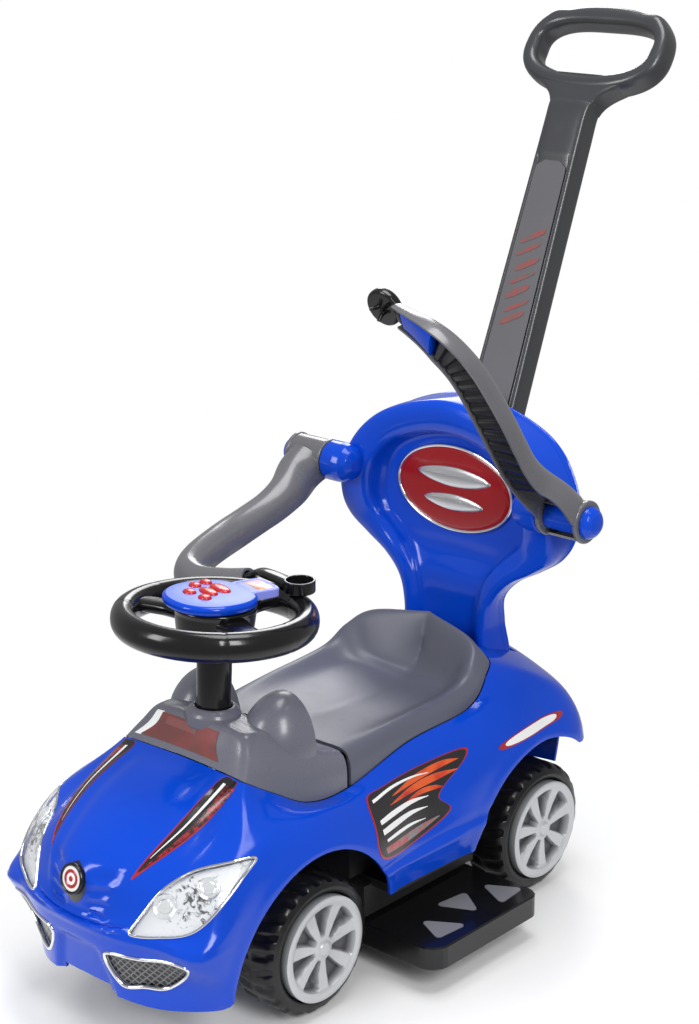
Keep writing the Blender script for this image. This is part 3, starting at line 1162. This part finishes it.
def guard_arms():
    """Two guard arms on pivot bolts. The left one ends in the latch head, the right in its socket."""
    for side, hand, rest, end in ((1, "left", -ARM_OPEN, ARM_END_LEFT), (-1, "right", 0.0, ARM_END_RIGHT)):
        pivot = empty(f"guard_{hand}", (0, PIVOT_Y, PIVOT_Z), (math.radians(rest), 0, 0), CAR)
        frames = arm_frames(end)
        made = add(f"guard_arm_{hand}", arm_loft("arm", frames, side, skin, wrap=False), GREY, pivot)
        solidify(made, ARM_WALL)
        for inner, outer in (EAR_INNER, EAR_OUTER):
            join(made, rod("ear", (side * inner, 0, 0), (side * outer, 0, 0), EAR_R, 16))
        bores = (("inner_bore", EAR_INNER[0] - 0.01, EAR_INNER[1] + 0.01, SHANK_R + RUN),
                 ("outer_bore", EAR_OUTER[0] - 0.01, EAR_OUTER[1] + 0.02, BARREL_R + RUN),
                 ("fork_space", EAR_INNER[1] + 0.0001, EAR_OUTER[0] - 0.0001, BARREL_R + 0.0035))
        for name, low, high, radius in bores:
            cut(made, rod(name, (side * low, 0, 0), (side * high, 0, 0), radius, 16))
        arm_liner(hand, frames[4:19], side, pivot)
        pivot_bolt(side, hand)
        if hand == "left":
            latch_head(frames, pivot)
        else:
            latch_socket(frames, pivot)


def arm_liner(hand, frames, side, pivot):
    """The black ribbed liner inside the arm: its depth steps in and out along the arm."""
    ribbed = [(*frame[:4], frame[4] * (1.0 if index % 2 else 0.55)) for index, frame in enumerate(frames)]
    add(f"arm_liner_{hand}", arm_loft("liner", ribbed, side, strip(-0.62, 0.0)), BLACK, pivot)


def pivot_bolt(side, hand):
    """The blue turned bolt that carries an arm: cap, barrel and shank."""
    outer, inner = EAR_OUTER[1] + RUN, EAR_INNER[1] + RUN
    tip = BOSS_X - 0.0145
    profile = [(0, outer + CAP_H), (0.007, outer + CAP_H - 0.0005), (0.013, outer + CAP_H - 0.0035),
               (CAP_R, outer + 0.003), (CAP_R, outer), (BARREL_R, outer), (BARREL_R, inner), (SHANK_R, inner),
               (SHANK_R, tip), (0, tip)]
    turned(f"arm_pivot_{hand}", profile, BLUE, 16, location=(0, PIVOT_Y, PIVOT_Z),
           rotation=(0, side * math.pi / 2, 0))


def latch_head(frames, pivot):
    """The left arm's black latch head with three hooks, and the blue press release behind it."""
    at = Vector((LATCH.x, LATCH.y * ARM_STRETCH, LATCH.z))
    low, high = at.z - HEAD_H / 2, at.z + HEAD_H / 2
    disc = rod("latch_head", (at.x, at.y, low), (at.x, at.y, high), HEAD_R, 20)
    head = add("latch_head", disc, BLACK, pivot)
    last = frames[-1]
    neck = [*frames[-2:], (Vector((at.x + HEAD_R * 0.5, at.y, at.z - 0.001)), *last[1:])]
    join(head, arm_loft("neck", neck, 1, inside_skin))
    cut(head, rod("socket_room", (at.x, at.y, low - 0.03), (at.x, at.y, low), SOCKET_R + RUN, 20))
    for angle in (90, 210, 330):
        x = at.x + SOCKET_R * 0.48 * math.cos(math.radians(angle))
        y = at.y + SOCKET_R * 0.48 * math.sin(math.radians(angle))
        sides = (x - HOOK_HALF, x + HOOK_HALF), (y - HOOK_HALF, y + HOOK_HALF)
        join(head, box("hook", *sides, (low - HOOK_H, low + 0.004)))
    add("latch_release", arm_loft("latch_release", frames[19:23], 1, strip(-1.0, -0.35)), BLUE, pivot)


def latch_socket(frames, pivot):
    """The right arm's black tongue, which ends in a round tray for the latch head's hooks."""
    at = Vector((-LATCH.x, LATCH.y * ARM_STRETCH, LATCH.z - HEAD_H / 2 - 0.0007))
    x = -at.x
    low = at.z - SOCKET_H
    disc = rod("latch_socket", (x, at.y, low), (x, at.y, at.z), SOCKET_R, 20)
    made = add("latch_socket", disc, BLACK, pivot)
    tongue = frames_through([(x, y * ARM_STRETCH, *rest) for x, y, *rest in TONGUE])
    join(made, arm_loft("tongue", frames[-2:] + tongue, -1, tongue_section))
    space = (x, at.y, low + SOCKET_WALL), (x, at.y, at.z + 0.01)
    cut(made, rod("socket_space", *space, SOCKET_R - SOCKET_WALL, 20))


def tongue_section(half, height):
    """Inside the arm's skin the tongue keeps clear of it, and past its end it has its own size."""
    return inside_skin(half, height) if height > 0.005 else skin(half, height)


PAD_TRIANGLES = [
    ((0.140, -0.041), (0.178, -0.060), (0.182, -0.014)),
    ((0.130, -0.008), (0.136, 0.038), (0.173, 0.013)),
    ((0.137, 0.061), (0.176, 0.084), (0.180, 0.040)),
]


def footrests():
    """Pull-out footrests with grey pads showing through three windows each."""
    for side, hand in ((1, "left"), (-1, "right")):
        slide = empty(f"footrest_{hand}_slide", (0, 0, 0), parent=CAR)
        x = (side * REST_X[0], side * REST_X[1])
        corners = [(x[0], REST_Y[0]), (x[1], REST_Y[0]), (x[1], REST_Y[1]), (x[0], REST_Y[1])]
        outline = []
        for index, radius in enumerate((0.003, REST_CORNER_R, REST_CORNER_R * 0.7, 0.003)):
            steps = 4 if radius > 0.01 else 1
            rounded = rounded_polygon(corners, radius, steps)
            outline += rounded[index * (steps + 1) : (index + 1) * (steps + 1)]
        made = add(f"footrest_{hand}", prism("footrest", outline, *REST_Z), BLACK, slide)
        bevel(made, 0.0015)
        space = [between(point, (sum(x) / 2, sum(REST_Y) / 2), 0.035) for point in outline]
        cut(made, prism("rest_space", space, REST_Z[0] - 0.01, REST_Z[1] - REST_WALL))
        plate_high = REST_Z[1] - REST_WALL - GAP
        plate_low = plate_high - 0.0025
        plate = [(side * 0.125, -0.062), (side * 0.183, -0.062), (side * 0.183, 0.072), (side * 0.125, 0.072)]
        pads = add(f"footrest_pads_{hand}", prism("pads", plate, plate_low, plate_high), PAD, slide)
        for triangle in PAD_TRIANGLES:
            shape = [(side * px, py) for px, py in triangle]
            middle = np.mean(shape, axis=0)
            inner = [between(point, middle, 0.045) for point in shape]
            cut(made, prism("window", rounded_polygon(shape, 0.004, 2), REST_Z[0], REST_Z[1] + 0.01))
            join(pads, prism("pad", rounded_polygon(inner, 0.0038, 2), plate_low, REST_Z[1] + GAP))


body_shell()
headlights_and_grilles()
nose_badge()
front_cowl()
seat_lid()
column_collar()
floor_pan()
storage_tub()
wheels()
axles()
steering()
backrest()
medallion()
handle_socket()
push_handle()
guard_arms()
footrests()

# Centre the whole car on the origin, front to back
RING_BACK_Y = (ring_centre() + Vector((0, math.sin(RING), math.cos(RING))) * RING_HALF_H).y + 0.0128
CAR.location.y = -(NOSE_Y + RING_BACK_Y) / 2
bpy.context.view_layer.update()
